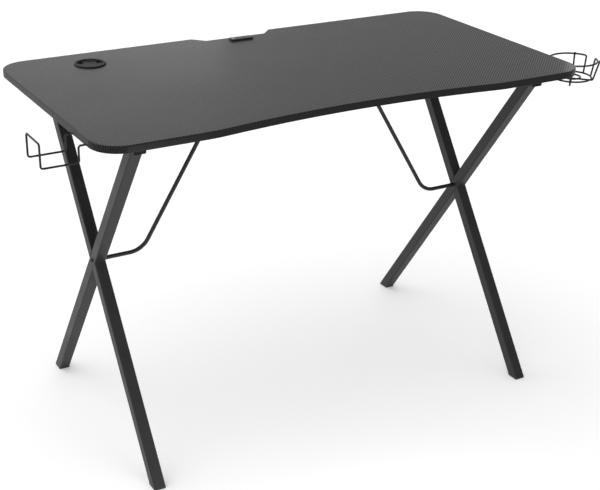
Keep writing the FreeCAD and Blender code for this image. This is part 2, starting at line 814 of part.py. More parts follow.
def grommet():
    """A flanged sleeve in the board with a loose cap that turns on its ledge."""
    body = new_body("grommet_ring")
    profile = sketch_on(body, "XZ_Plane")
    sleeve_radius = f"({bore_radius} + sleeve_wall)"
    foot = "-(top_thick + sleeve_past)"
    polygon(profile, [
        (ledge_radius, "-seat_deep - seat_thick"),
        (ledge_radius, "-seat_deep"),
        (bore_radius, "-seat_deep"),
        (bore_radius, "flange_high - flange_bevel"),
        (f"{bore_radius} + flange_bevel", "flange_high"),
        ("flange_wide / 2 - flange_bevel", "flange_high"),
        ("flange_wide / 2", "flange_high - flange_bevel"),
        ("flange_wide / 2", "0"),
        (sleeve_radius, "0"),
        (sleeve_radius, foot),
        (bore_radius, foot),
        (bore_radius, "-seat_deep - seat_thick"),
    ])
    revolve(body, profile)
    place(body, grommet_across, grommet_along, "top_height")
    keep("grommet_ring", body)
    cap = new_body("grommet_cap")
    profile = sketch_on(cap, "XZ_Plane")
    rim, skirt = f"({bore_radius} - cap_play)", f"({ledge_radius} - cap_play)"
    floor, roof = "(cap_rest - seat_deep)", "(cap_rest - seat_deep + cap_high)"
    polygon(profile, [
        ("0", floor),
        (f"{skirt} - skirt_wall", floor),
        (f"{skirt} - skirt_wall", f"{floor} - skirt_long"),
        (skirt, f"{floor} - skirt_long"),
        (skirt, floor),
        (rim, floor),
        (rim, roof),
        (f"{rim} - cap_dish_rim", roof),
        (f"{rim} - cap_dish_rim - cap_dish", f"{roof} - cap_dish"),
        ("0", f"{roof} - cap_dish"),
    ])
    revolve(cap, profile)
    middle = f"({rim} - cable_slot_inset)"
    slots = sketch_on(cap, "XY_Plane", f"{floor} - skirt_long - overrun")
    for angle in "first_slot_angle", "second_slot_angle":
        circle(slots, "cable_slot_wide", f"{middle} * cos({angle})", f"{middle} * sin({angle})")
    pocket(cap, slots, "skirt_long + cap_high + 2 * overrun", flip=True)
    tab = sketch_on(cap, "XY_Plane", f"{roof} - cap_dish")
    outer = f"({rim} - tab_inset)"
    inner = f"({outer} - tab_long)"
    corners = []
    for radius, side in (inner, "-"), (outer, "-"), (outer, ""), (inner, ""):
        across = f"{radius} * cos(tab_angle) - {side}tab_wide / 2 * sin(tab_angle)"
        up = f"{radius} * sin(tab_angle) + {side}tab_wide / 2 * cos(tab_angle)"
        corners.append((across, up))
    polygon(tab, corners)
    pad(cap, tab, "cap_dish + tab_high")
    place(cap, grommet_across, grommet_along, "top_height")
    keep("grommet_cap", cap)


# Light controller

box_along = "(top_depth / 2 - notch_depth - box_back - box_deep / 2)"
button_across = "(box_across - box_wide / 2 + button_inset + button_wide / 2)"
lid_floor = "(box_high - box_wall)"
board_top = "(box_wall + board_thick)"


def box_part(name, wide, deep, low, high, across="box_across", along=box_along, corner=""):
    """A flat block of the controller between two heights above the board's face."""
    body = new_body(name)
    outline = sketch_on(body, "XY_Plane", low)
    rectangle(outline, wide, deep)
    block = pad(body, outline, f"{high} - ({low})")
    if corner:
        block = round_edges(body, block, lambda edge: runs_along(edge, upright), corner)
    place(body, across, along, "top_height")
    keep(name, body)
    return body, block


def controller():
    """A shallow tray with a lid, a switch board, a cable inlet and one key."""
    tray, _ = box_part("controller_base", "box_wide", "box_deep", "0", lid_floor, corner="box_corner")
    hollow = sketch_on(tray, "XY_Plane", "box_wall")
    rectangle(hollow, "box_wide - 2 * box_wall", "box_deep - 2 * box_wall")
    pocket(tray, hollow, "box_high", flip=True)
    mouth = sketch_on(tray, "XZ_Plane")
    mouth_floor = f"({board_top} - board_play / 2)"
    mouth_high = f"({lid_floor} + overrun - {mouth_floor})"
    rectangle(mouth, "inlet_wide + board_play", mouth_high, up=f"{mouth_floor} + {mouth_high} / 2")
    pocket(tray, mouth, "box_deep")
    lid, slab = box_part(
        "controller_cover", "box_wide", "box_deep", lid_floor, "box_high", corner="box_corner"
    )
    round_edges(lid, slab, lambda edge: lies_at(edge, measure("box_high")), "box_round")
    opening = sketch_on(lid, "XY_Plane", lid_floor)
    reach = f"{button_across} - box_across"
    rectangle(opening, "button_wide + 2 * button_play", "button_deep + 2 * button_play", reach)
    pocket(lid, opening, "box_wall", flip=True)
    inside = "- 2 * box_wall - 2 * board_play"
    box_part("controller_board", "box_wide" + inside, "box_deep" + inside, "box_wall", board_top)
    lip_floor = f"({lid_floor} - button_play / 2 - flange_thin)"
    switch_top = f"{lip_floor} - button_travel - press_gap"
    box_part("button_switch", "switch_side", "switch_side", board_top, switch_top, button_across)
    inlet_along = f"({box_along} + box_deep / 2 - inlet_deep / 2)"
    inlet_middle = f"{board_top} + inlet_high / 2"
    inlet_top = f"{board_top} + inlet_high"
    inlet, _ = box_part(
        "controller_inlet", "inlet_wide", "inlet_deep", board_top, inlet_top, along=inlet_along
    )
    throat = sketch_on(inlet, "XZ_Plane", "-inlet_deep / 2")
    rectangle(
        throat, "inlet_wide - 2 * inlet_wall", "inlet_high - 2 * inlet_wall", up=inlet_middle
    )
    pocket(inlet, throat, "inlet_deep - inlet_wall", flip=True)
    key, _ = box_part(
        "mode_button", "button_wide", "button_deep", lip_floor, "box_high + button_proud", button_across
    )
    lip = sketch_on(key, "XY_Plane", lip_floor)
    rectangle(lip, "button_wide + 2 * button_flange", "button_deep + 2 * button_flange")
    pad(key, lip, "flange_thin")


# Light bar

def bar_piece(name, corners, length):
    """A straight extrusion under the back edge, drawn in its cross-section."""
    body = new_body(name)
    section = sketch_on(body, "YZ_Plane")
    polygon(section, corners)
    pad(body, section, length, both_ways=True)
    place(body, "0", "top_depth / 2 - bar_back - bar_deep", f"{underside} - bar_high")
    keep(name, body)
    return body


def light_bar():
    """A channel open to the back with a lit tape on its web and a lens in its mouth."""
    whole = "(top_width - 2 * bar_inset)"
    long = f"({whole} - 2 * bar_cap)"
    bar_piece("led_channel", [
        ("0", "0"),
        ("bar_deep", "0"),
        ("bar_deep", "bar_wall"),
        ("bar_wall", "bar_wall"),
        ("bar_wall", "bar_high - bar_wall"),
        ("bar_deep", "bar_high - bar_wall"),
        ("bar_deep", "bar_high"),
        ("0", "bar_high"),
    ], long)
    low, high = "(bar_wall + tape_play)", "(bar_high - bar_wall - tape_play)"
    tape_face = "(bar_wall + tape_thick)"
    bar_piece("led_tape", [("bar_wall", low), (tape_face, low), (tape_face, high), ("bar_wall", high)], long)
    lens_back = "(bar_deep - lens_thick)"
    bar_piece("led_lens", [(lens_back, low), ("bar_deep", low), ("bar_deep", high), (lens_back, high)], long)
    chip = doc.addObject("Part::Box", "chip")
    for edge, text in ("Length", "chip_side"), ("Width", "chip_high"), ("Height", "chip_side"):
        chip.setExpression(edge, formula(text))
    doc.recompute()
    count = int(measure(f"{long} / chip_pitch"))
    first = f"-({count - 1}) * chip_pitch / 2 - chip_side / 2"
    along = f"top_depth / 2 - bar_back - bar_deep + {tape_face}"
    height = f"{underside} - bar_high / 2 - chip_side / 2"
    spots = [moved(f"{first} + {step} * chip_pitch", along, height) for step in range(count)]
    group("led_chips", chip, spots)
    stop = doc.addObject("Part::Box", "bar_stop")
    for edge, text in ("Length", "bar_cap"), ("Width", "bar_deep"), ("Height", "bar_high"):
        stop.setExpression(edge, formula(text))
    doc.recompute()
    along = "top_depth / 2 - bar_back - bar_deep"
    ends = (f"-{whole} / 2", f"{whole} / 2 - bar_cap")
    group("led_end_caps", stop, [moved(end, along, f"{underside} - bar_high") for end in ends])


top_panel()
for word, side in ("left", "-"), ("right", ""):
    side_frame(word, side)
    foot_glide(f"{word}_front_glide", side, "-")
    foot_glide(f"{word}_back_glide", side, "+")
    brace_rod(f"{word}_brace_rod", side)
    brace_holes = [(f"{turn} brace_screw_pitch / 2", "0") for turn in ("-", "")]
    brace_plate_across = side + brace_reach
    screwed_plate(
        f"{word}_brace_plate", "brace_plate_long", "brace_plate_wide", brace_plate_across, "0", brace_holes
    )
rail_end_caps()
fasteners()
headset_hook()
hook_holes = [("0", f"{turn} hook_screw_pitch / 2") for turn in ("-", "")]
screwed_plate(
    "headset_hook_plate", "hook_plate_wide", "hook_plate_long", hook_plate_across, hook_place, hook_holes
)
cup_holder()
grommet()
controller()
light_bar()
doc.recompute()

for item in doc.Objects:
    if {"Invalid", "Error"} & set(item.State):
        raise RuntimeError(f"{item.Label} did not build: {item.State}")
for name, piece in nodes.items():
    if piece.Shape.isNull() or not piece.Shape.isValid():
        raise RuntimeError(f"{name} has no valid shape")

os.makedirs("parts", exist_ok=True)
for name, piece in nodes.items():
    piece.Shape.exportStep(f"parts/{name}.step")
print(f"{len(nodes)} nodes written")
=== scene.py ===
import math

import bmesh
import bpy
from mathutils import Matrix, Vector


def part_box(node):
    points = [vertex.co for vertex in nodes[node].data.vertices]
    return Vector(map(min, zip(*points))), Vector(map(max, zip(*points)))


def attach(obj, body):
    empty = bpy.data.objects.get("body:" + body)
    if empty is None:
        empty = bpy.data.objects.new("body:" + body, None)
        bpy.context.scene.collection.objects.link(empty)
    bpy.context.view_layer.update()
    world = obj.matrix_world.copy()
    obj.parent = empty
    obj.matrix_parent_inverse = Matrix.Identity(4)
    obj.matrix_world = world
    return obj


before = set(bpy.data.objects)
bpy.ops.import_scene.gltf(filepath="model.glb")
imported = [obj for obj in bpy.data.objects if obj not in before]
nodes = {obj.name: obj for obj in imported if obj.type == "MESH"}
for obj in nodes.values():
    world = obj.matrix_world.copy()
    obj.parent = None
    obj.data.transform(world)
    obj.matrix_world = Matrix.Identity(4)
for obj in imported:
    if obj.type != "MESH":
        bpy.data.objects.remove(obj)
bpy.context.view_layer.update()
scene = bpy.context.scene
scene.view_settings.view_transform = "Standard"
print("frame loaded:", len(nodes), "nodes")

mmPerMetre = 1000
white = "#ffffff"
noiseSpan = (0.3, 0.7)  # nearly all values of a noise pattern lie between these


def toLinear(hexColour):  # sRGB hex to the linear colour that shaders take
    channels = [int(hexColour[i:i + 2], 16) / 255 for i in (1, 3, 5)]
    linear = [c / 12.92 if c <= 0.04045 else ((c + 0.055) / 1.055) ** 2.4 for c in channels]
    return (*linear, 1.0)


# An input is a number, a colour or another node's output.
# Sockets by number: Map Range has 0 value, 1-2 from, 3-4 to; Mix has 0 share, 2-3 numbers, 6-7 colours.
def addNode(tree, kind, inputs=None, **settings):
    node = tree.nodes.new(kind)
    for name, value in settings.items():
        setattr(node, name, value)
    for key, value in (inputs or {}).items():
        if isinstance(value, bpy.types.NodeSocket):
            tree.links.new(value, node.inputs[key])
        else:
            node.inputs[key].default_value = value
    return node


def newMaterial(name, settings):  # settings go straight on the shader's own sockets
    material = bpy.data.materials.new(name)
    material.use_nodes = True
    tree = material.node_tree
    shader = tree.nodes["Principled BSDF"]
    for key, value in settings.items():
        shader.inputs[key].default_value = value
    return material, tree, shader


def perMm(size):  # how many times a pattern of that size in millimetres repeats in a metre
    return mmPerMetre / size


def paint(material, *names):
    for name in names:
        mesh = nodes[name].data
        mesh.materials.clear()
        mesh.materials.append(material)


# Worktop: particle board wrapped in PVC film, vacuum-pressed over the edges

filmLook = {
    "towMm": 1.75,  # width of one printed carbon tow
    "repeatTows": 4,  # a 2/2 twill repeats after four tows
    "towsOver": 2,  # a tow lies over two of those four
    "warpColour": "#4c4b4b",
    "weftColour": "#0d0d0d",
    "towShade": 0.5,  # how dark a tow gets towards its sides
    "embossMm": 0.06,
    "embossStrength": 0.35,
    "edgeRange": (0.2, 0.8),  # how far a face looks up, from an edge to the top
    "paintedEdgeShade": 0.32,  # painted shade: how dark the weave gets on a face that turns down over an edge
    # painted shade: the flat dark colour that straight edges fade into
    "paintedEdgeShadeColour": "#111111",
    "edgeFade": 0.75,  # share of the weave that a straight edge loses to the painted shade colour
    "gatherRange": (0.02, 0.4),  # how far an edge turns, as the product of its normal's x and y
    "ior": 1.5,
    "roughness": 0.44,
    "specular": 0.045,
    "gloss": 0.22,  # the hot press leaves a thin gloss over the satin, which mirrors a low window
    "glossRoughness": 0.11,
    "smearMm": 140,  # faint wiping marks
    "smearDetail": 4.0,
    "smear": 0.012,
    "backLimit": -0.7,  # a face that looks further down than this is the underside
    "backColour": "#161617",  # paper backing, cloudy with resin
    "backCloud": "#242425",
    "cloudMm": 18,
    "cloudDetail": 8.0,
}


def drawnOverEdges(tree, place, facing):  # the pattern runs on down the edge faces, as the film does
    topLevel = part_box("top_panel")[1].z
    height = addNode(tree, "ShaderNodeSeparateXYZ", {0: place}).outputs[2]
    drop = addNode(tree, "ShaderNodeMath", {0: topLevel, 1: height}, operation="SUBTRACT").outputs[0]
    drawn = addNode(tree, "ShaderNodeVectorMath", {0: facing, "Scale": drop}, operation="SCALE").outputs[0]
    return addNode(tree, "ShaderNodeVectorMath", {0: place, 1: drawn}, operation="ADD").outputs[0]


def twill(tree, spread, look):  # the colour of the tow on top, and how its round back rises
    split = addNode(tree, "ShaderNodeSeparateXYZ", {0: spread})
    towsPerMetre = perMm(look["towMm"])
    counts, backs = [], []
    for along in split.outputs[0], split.outputs[1]:
        tows = addNode(tree, "ShaderNodeMath", {0: along, 1: towsPerMetre}, operation="MULTIPLY").outputs[0]
        counts.append(addNode(tree, "ShaderNodeMath", {0: tows}, operation="FLOOR").outputs[0])
        share = addNode(tree, "ShaderNodeMath", {0: tows}, operation="FRACT").outputs[0]
        angle = addNode(tree, "ShaderNodeMath", {0: share, 1: math.pi}, operation="MULTIPLY").outputs[0]
        backs.append(addNode(tree, "ShaderNodeMath", {0: angle}, operation="SINE").outputs[0])
    step = addNode(tree, "ShaderNodeMath", {0: counts[0], 1: counts[1]}, operation="SUBTRACT").outputs[0]
    phase = addNode(
        tree, "ShaderNodeMath", {0: step, 1: look["repeatTows"]}, operation="FLOORED_MODULO"
    ).outputs[0]
    between = look["towsOver"] - 0.5  # phases are whole numbers, so the limit lies halfway
    warpOnTop = addNode(tree, "ShaderNodeMath", {0: phase, 1: between}, operation="LESS_THAN").outputs[0]
    crown = addNode(tree, "ShaderNodeMix", {0: warpOnTop, 2: backs[1], 3: backs[0]}).outputs[0]
    weft, warp = toLinear(look["weftColour"]), toLinear(look["warpColour"])
    colour = addNode(tree, "ShaderNodeMix", {0: warpOnTop, 6: weft, 7: warp}, data_type="RGBA").outputs[2]
    return colour, crown


def carbonFilm(look):
    # satin PVC, printed and embossed with a 2/2 twill: a fine diagonal sheen under a thin gloss, with
    # painted shade on the edges
    settings = {
        "IOR": look["ior"],
        "Specular IOR Level": look["specular"],
        "Coat Weight": look["gloss"],
        "Coat Roughness": look["glossRoughness"],
    }
    material, tree, shader = newMaterial("carbon twill PVC film", settings)
    place = addNode(tree, "ShaderNodeTexCoord").outputs["Object"]
    surface = addNode(tree, "ShaderNodeNewGeometry")
    facing = surface.outputs["True Normal"]
    upright = addNode(tree, "ShaderNodeSeparateXYZ", {0: facing}).outputs[2]
    edge, top = look["edgeRange"]
    tow, crown = twill(tree, drawnOverEdges(tree, place, facing), look)
    shade = addNode(tree, "ShaderNodeMapRange", {0: crown, 3: look["towShade"], 4: 1.0}).outputs[0]
    # painted shade: the weave darkens as a face turns from the top down over an edge
    paintedEdgeShading = addNode(
        tree, "ShaderNodeMapRange", {0: upright, 1: edge, 2: top, 3: look["paintedEdgeShade"], 4: 1.0}
    ).outputs[0]
    dimmed = addNode(tree, "ShaderNodeMath", {0: shade, 1: paintedEdgeShading}, operation="MULTIPLY").outputs[0]
    weave = addNode(tree, "ShaderNodeVectorMath", {0: tow, "Scale": dimmed}, operation="SCALE").outputs[0]
    # stretched along a straight edge the weave fades into a flat painted shade colour; gathered round a
    # corner it stands out as streaks
    sides = addNode(tree, "ShaderNodeSeparateXYZ", {0: surface.outputs["Normal"]})
    turn = addNode(
        tree, "ShaderNodeMath", {0: sides.outputs[0], 1: sides.outputs[1]}, operation="MULTIPLY"
    ).outputs[0]
    gather = addNode(tree, "ShaderNodeMath", {0: turn}, operation="ABSOLUTE").outputs[0]
    straight, corner = look["gatherRange"]
    stretched = addNode(
        tree, "ShaderNodeMapRange", {0: gather, 1: straight, 2: corner, 3: look["edgeFade"], 4: 0.0}
    ).outputs[0]
    isEdge = addNode(tree, "ShaderNodeMapRange", {0: upright, 1: edge, 2: top, 3: 1.0, 4: 0.0}).outputs[0]
    fade = addNode(tree, "ShaderNodeMath", {0: stretched, 1: isEdge}, operation="MULTIPLY").outputs[0]
    paintedEdgeShadeColour = toLinear(look["paintedEdgeShadeColour"])
    film = addNode(tree, "ShaderNodeMix", {0: fade, 6: weave, 7: paintedEdgeShadeColour}, data_type="RGBA").outputs[2]
    # the underside shows the board's paper
    limit = look["backLimit"]
    isBack = addNode(tree, "ShaderNodeMath", {0: upright, 1: limit}, operation="LESS_THAN").outputs[0]
    cloud = addNode(
        tree,
        "ShaderNodeTexNoise",
        {"Vector": place, "Scale": perMm(look["cloudMm"]), "Detail": look["cloudDetail"]},
    ).outputs[0]
    dark, pale = toLinear(look["backColour"]), toLinear(look["backCloud"])
    paper = addNode(tree, "ShaderNodeMix", {0: cloud, 6: dark, 7: pale}, data_type="RGBA").outputs[2]
    colour = addNode(tree, "ShaderNodeMix", {0: isBack, 6: film, 7: paper}, data_type="RGBA").outputs[2]
    tree.links.new(colour, shader.inputs["Base Color"])
    smear = addNode(
        tree,
        "ShaderNodeTexNoise",
        {"Vector": place, "Scale": perMm(look["smearMm"]), "Detail": look["smearDetail"]},
    ).outputs[0]
    low, high = noiseSpan
    wiped, plain = look["roughness"] - look["smear"], look["roughness"] + look["smear"]
    satin = addNode(tree, "ShaderNodeMapRange", {0: smear, 1: low, 2: high, 3: wiped, 4: plain}).outputs[0]
    tree.links.new(satin, shader.inputs["Roughness"])
    depth = look["embossMm"] / mmPerMetre
    emboss = addNode(
        tree, "ShaderNodeBump", {"Height": crown, "Strength": look["embossStrength"], "Distance": depth}
    ).outputs[0]
    tree.links.new(emboss, shader.inputs["Normal"])
    return material


paint(carbonFilm(filmLook), "top_panel")
print("worktop film done")


# Coated and moulded finishes share one build: a base colour, a soft mottle and a fine relief

grainLook = {  # what a finish has unless its own look says otherwise
    "metallic": 0.0,
    "specular": 0.5,
    "mottleDetail": 3.0,
    "roughnessSpread": 0.05,  # the mottle moves the roughness this far up and down
    "grainDetail": 2.0,
    "reliefShare": 1 / 8,  # depth of the relief as a share of the grain's width
}


def grainedFinish(name, ownLook):
    look = {**grainLook, **ownLook}
    settings = {"IOR": look["ior"], "Metallic": look["metallic"], "Specular IOR Level": look["specular"]}
    material, tree, shader = newMaterial(name, settings)
    place = addNode(tree, "ShaderNodeTexCoord").outputs["Object"]
    mottle = addNode(
        tree,
        "ShaderNodeTexNoise",
        {"Vector": place, "Scale": perMm(look["mottleMm"]), "Detail": look["mottleDetail"]},
    ).outputs[0]
    dark, light = toLinear(look["darkColour"]), toLinear(look["lightColour"])
    colour = addNode(tree, "ShaderNodeMix", {0: mottle, 6: dark, 7: light}, data_type="RGBA").outputs[2]
    tree.links.new(colour, shader.inputs["Base Color"])
    low, high = noiseSpan
    smooth = look["roughness"] - look["roughnessSpread"]
    rough = look["roughness"] + look["roughnessSpread"]
    satin = addNode(tree, "ShaderNodeMapRange", {0: mottle, 1: low, 2: high, 3: smooth, 4: rough}).outputs[0]
    tree.links.new(satin, shader.inputs["Roughness"])
    grain = addNode(
        tree,
        "ShaderNodeTexNoise",
        {"Vector": place, "Scale": perMm(look["grainMm"]), "Detail": look["grainDetail"]},
    ).outputs[0]
    depth = look["grainMm"] * look["reliefShare"] / mmPerMetre
    relief = addNode(
        tree, "ShaderNodeBump", {"Height": grain, "Strength": look["relief"], "Distance": depth}
    ).outputs[0]
    tree.links.new(relief, shader.inputs["Normal"])
    return material


# Frames, rods and feet

tubeLook = {  # black polyester powder baked on steel: satin with a slight orange peel
    "darkColour": "#232324", "lightColour": "#2f2f30", "roughness": 0.46, "ior": 1.5, "specular": 0.24,
    "mottleMm": 60, "grainMm": 2.5, "relief": 0.12,  # real peel is about 1 mm; drawn coarser to show
}
rodLook = {  # the same powder on drawn rod, where it lies thinner: darker and flatter
    "darkColour": "#131314", "lightColour": "#1b1b1c", "roughness": 0.52, "ior": 1.5, "specular": 0.35,
    "mottleMm": 40, "grainMm": 2.5, "relief": 0.10,
}
footLook = {  # moulded nylon, scuffed by the floor: a satin grey
    "darkColour": "#2c2c2d", "lightColour": "#3a3a3b", "roughness": 0.46, "ior": 1.53, "specular": 0.42,
    "mottleMm": 20, "grainMm": 1.2, "relief": 0.15,
}
endCapLook = {  # moulded polyethylene: waxy, matt and deep black
    "darkColour": "#0a0a0b", "lightColour": "#101011", "roughness": 0.62, "ior": 1.5, "specular": 0.15,
    "mottleMm": 20, "grainMm": 1.2, "relief": 0.15,
}
boltLook = {  # steel blackened in hot oxide salts and oiled: dark with a soft gleam
    "darkColour": "#2b2b2d", "lightColour": "#3a3a3c", "roughness": 0.38, "ior": 1.5, "metallic": 0.85,
    "mottleMm": 4, "grainMm": 1.0, "relief": 0.10,
}
brassLook = {  # turned brass: a warm gleam
    "darkColour": "#b08d45", "lightColour": "#c9a558", "roughness": 0.30, "ior": 1.5, "metallic": 1.0,
    "mottleMm": 5, "grainMm": 0.8, "relief": 0.10,
}

tubeCoat = grainedFinish("powder-coated steel tube", tubeLook)
rodCoat = grainedFinish("powder-coated steel rod", rodLook)
footPlastic = grainedFinish("moulded nylon", footLook)
for side in "left", "right":
    paint(
        tubeCoat,
        f"{side}_top_rail",
        f"{side}_long_leg",
        f"{side}_upper_half_leg",
        f"{side}_lower_half_leg",
        f"{side}_brace_plate",
    )
    paint(rodCoat, f"{side}_brace_rod")
    paint(footPlastic, f"{side}_front_glide", f"{side}_back_glide")
paint(grainedFinish("moulded polyethylene", endCapLook), "rail_end_caps")
paint(grainedFinish("black-oxide steel", boltLook), "rail_bolts", "brace_bolts", "plate_screws")
paint(grainedFinish("turned brass", brassLook), "rail_inserts")
print("frames and feet done")


# Headset hook and cup holder

wireLook = {  # the same powder on drawn wire, where it lies thinnest: near black with a small gleam
    "darkColour": "#0b0b0c", "lightColour": "#121213", "roughness": 0.42, "ior": 1.5, "specular": 0.25,
    "mottleMm": 30, "grainMm": 2.0, "relief": 0.10,
}

paint(
    grainedFinish("powder-coated steel wire", wireLook),
    "headset_hook",
    "headset_hook_plate",
    "cup_holder_plate",
    "cup_holder_rim",
    "cup_holder_base_ring",
    "cup_holder_inner_ring",
    "cup_holder_upper_cradle",
    "cup_holder_lower_cradle",
)
print("hook and cup holder done")


# Grommet and light controller

grommetLook = {  # ABS moulded against a spark-eroded skin: matt black
    "darkColour": "#131314", "lightColour": "#1b1b1c", "roughness": 0.60, "ior": 1.53, "specular": 0.2,
    "mottleMm": 15, "grainMm": 1.0, "relief": 0.20,
}
capLook = {  # the same ABS, dulled and greyed by hands
    "darkColour": "#1c1c1d", "lightColour": "#262627", "roughness": 0.62, "ior": 1.53, "specular": 0.2,
    "mottleMm": 12, "grainMm": 1.0, "relief": 0.20,
}
trayLook = {  # ABS from a plain mould: matt black
    "darkColour": "#1b1b1c", "lightColour": "#242425", "roughness": 0.50, "ior": 1.53,
    "mottleMm": 15, "grainMm": 1.0, "relief": 0.20,
}
coverLook = {  # ABS moulded with a finer texture: satin dark grey
    "darkColour": "#343436", "lightColour": "#3e3e40", "roughness": 0.50, "ior": 1.53, "specular": 0.25,
    "mottleMm": 15, "grainMm": 1.0, "relief": 0.15,
}
keyLook = {  # ABS moulded in a paler grey and worn smooth: a soft shine
    "darkColour": "#666669", "lightColour": "#727275", "roughness": 0.42, "ior": 1.53, "specular": 0.35,
    "mottleMm": 8, "grainMm": 1.0, "relief": 0.10,
}
boardLook = {  # solder mask printed on glass epoxy: glossy, cloudy green
    "darkColour": "#0d3a1e", "lightColour": "#175c30", "roughness": 0.30, "ior": 1.55,
    "mottleMm": 3, "grainMm": 0.8, "relief": 0.10,
}
tinLook = {  # stamped steel, tinned: bright and smooth
    "darkColour": "#a9a9ab", "lightColour": "#c4c4c6", "roughness": 0.28, "ior": 1.5, "metallic": 1.0,
    "mottleMm": 3, "grainMm": 0.6, "relief": 0.08,
}

blackPlastic = grainedFinish("moulded black ABS", trayLook)
paint(grainedFinish("spark-textured ABS", grommetLook), "grommet_ring")
paint(grainedFinish("handled ABS", capLook), "grommet_cap")
paint(blackPlastic, "controller_base", "button_switch")
paint(grainedFinish("satin grey ABS", coverLook), "controller_cover")
paint(grainedFinish("smooth grey ABS", keyLook), "mode_button")
paint(grainedFinish("solder mask on epoxy", boardLook), "controller_board")
paint(grainedFinish("tinned steel", tinLook), "controller_inlet")
print("grommet and controller done")


# Light bar: colours run along it from pink through cyan and green to orange

channelLook = {  # aluminium extruded and anodised black: an even satin
    "darkColour": "#1e1e20", "lightColour": "#29292b", "roughness": 0.36, "ior": 1.5, "metallic": 0.9,
    "mottleMm": 25, "grainMm": 1.2, "relief": 0.08,
}
tapeLook = {  # white mask printed on a flexible circuit: bright and matt
    "darkColour": "#dcdcda", "lightColour": "#eeeeec", "roughness": 0.45, "ior": 1.5,
    "mottleMm": 6, "grainMm": 1.0, "relief": 0.10,
}
glowLook = {
    "stops": [
        (0.0, "#ff3fb4"),
        (0.25, "#c05cff"),
        (0.42, "#38d8ff"),
        (0.6, "#5cffb0"),
        (0.8, "#ffe04a"),
        (1.0, "#ff8a3c"),
    ],
    "lensStrength": 1.4,
    "chipStrength": 3.0,
    "lensColour": "#e6e6e8",
    "ior": 1.58,
    "frostMm": 1.5,
    "frostDetail": 2.0,
    "frostRoughness": (0.35, 0.55),
}


def litPlastic(name, strength, look):
    # opal plastic, moulded with a frosted skin and lit from behind: soft, even colour
    settings = {
        "Base Color": toLinear(look["lensColour"]),
        "IOR": look["ior"],
        "Emission Strength": strength,
    }
    material, tree, shader = newMaterial(name, settings)
    place = addNode(tree, "ShaderNodeTexCoord").outputs["Object"]
    low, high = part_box("led_lens")
    along = addNode(tree, "ShaderNodeSeparateXYZ", {0: place}).outputs[0]
    share = addNode(tree, "ShaderNodeMapRange", {0: along, 1: low.x, 2: high.x}).outputs[0]
    ramp = addNode(tree, "ShaderNodeValToRGB", {0: share})
    stops = ramp.color_ramp.elements
    for position, _ in look["stops"][1:-1]:  # a new ramp already has its two ends
        stops.new(position)
    for stop, (_, colour) in zip(stops, look["stops"]):
        stop.color = toLinear(colour)
    tree.links.new(ramp.outputs[0], shader.inputs["Emission Color"])
    frost = addNode(
        tree,
        "ShaderNodeTexNoise",
        {"Vector": place, "Scale": perMm(look["frostMm"]), "Detail": look["frostDetail"]},
    ).outputs[0]
    smooth, rough = look["frostRoughness"]
    dull = addNode(tree, "ShaderNodeMapRange", {0: frost, 3: smooth, 4: rough}).outputs[0]
    tree.links.new(dull, shader.inputs["Roughness"])
    return material


paint(grainedFinish("black-anodised aluminium", channelLook), "led_channel")
paint(grainedFinish("white flexible circuit", tapeLook), "led_tape")
paint(blackPlastic, "led_end_caps")
paint(litPlastic("opal polycarbonate", glowLook["lensStrength"], glowLook), "led_lens")
paint(litPlastic("lit silicone", glowLook["chipStrength"], glowLook), "led_chips")
print("light bar done")


# Weld beads where the frame tubes and rods meet, with the ripple that a welder leaves

weldLook = {
    "beadMm": 1.7,  # half width of a bead
    "beadSteps": 3,  # roundness of its section
    "rippleMm": 1.6,
    "rippleShare": 0.16,
    "stepMm": 0.4,
    "leastStraight": 2,  # fewest steps in a straight bead and in a round one
    "leastRound": 24,
    "tubeRoundMm": 2.5,  # the bead stops where the tube's corner turns away
    "rodClearMm": 4.9,
    "rodLean": 1.18,  # the rod leans, so its end is this much longer on the plate
    "levelMm": 0.1,  # corners this near to the crossing's height are on it
    "mergeMm": 0.001,
}


def beadCurve(points, closed, look):
    curve = bpy.data.curves.new("bead", "CURVE")
    curve.dimensions = "3D"
    curve.bevel_depth = look["beadMm"] / mmPerMetre
    curve.bevel_resolution = look["beadSteps"]
    curve.use_fill_caps = True
    spline = curve.splines.new("POLY")
    spline.points.add(len(points) - 1)
    spline.use_cyclic_u = closed
    walked = 0.0
    for i, point in enumerate(points):
        walked += (point - points[i - 1]).length if i else 0.0
        ripple = abs(math.sin(math.pi * walked * perMm(look["rippleMm"])))
        spline.points[i].co = (*point, 1.0)
        spline.points[i].radius = 1 - look["rippleShare"] * ripple
    return curve


def straightRun(start, end, look):
    count = max(look["leastStraight"], round((end - start).length * perMm(look["stepMm"])))
    return [start.lerp(end, i / count) for i in range(count + 1)]


def ellipseRun(centre, across, along, look):
    around = math.pi * (across.length + along.length)
    count = max(look["leastRound"], round(around * perMm(look["stepMm"])))
    turns = [2 * math.pi * i / count for i in range(count)]
    return [centre + across * math.cos(t) + along * math.sin(t) for t in turns]


def weldPiece(name, runs, look):
    built = bmesh.new()
    for points, closed in runs:
        curve = beadCurve(points, closed, look)
        holder = bpy.data.objects.new("beadHolder", curve)
        scene.collection.objects.link(holder)
        swept = holder.evaluated_get(bpy.context.evaluated_depsgraph_get())
        mesh = bpy.data.meshes.new_from_object(swept)
        built.from_mesh(mesh)
        bpy.data.objects.remove(holder)
        bpy.data.meshes.remove(mesh)
        bpy.data.curves.remove(curve)
    bmesh.ops.remove_doubles(built, verts=built.verts, dist=look["mergeMm"] / mmPerMetre)
    mesh = bpy.data.meshes.new(name)
    built.to_mesh(mesh)
    built.free()
    for face in mesh.polygons:
        face.use_smooth = True
    mesh.materials.append(tubeCoat)
    piece = bpy.data.objects.new(name, mesh)
    scene.collection.objects.link(piece)
    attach(piece, "desk")


def crossingReach(side, height, look):  # half the long leg's level width, read at the crossing
    corners = [v.co for v in nodes[f"{side}_upper_half_leg"].data.vertices]
    level = height + look["levelMm"] / mmPerMetre
    return max(c.y for c in corners if c.z < level)


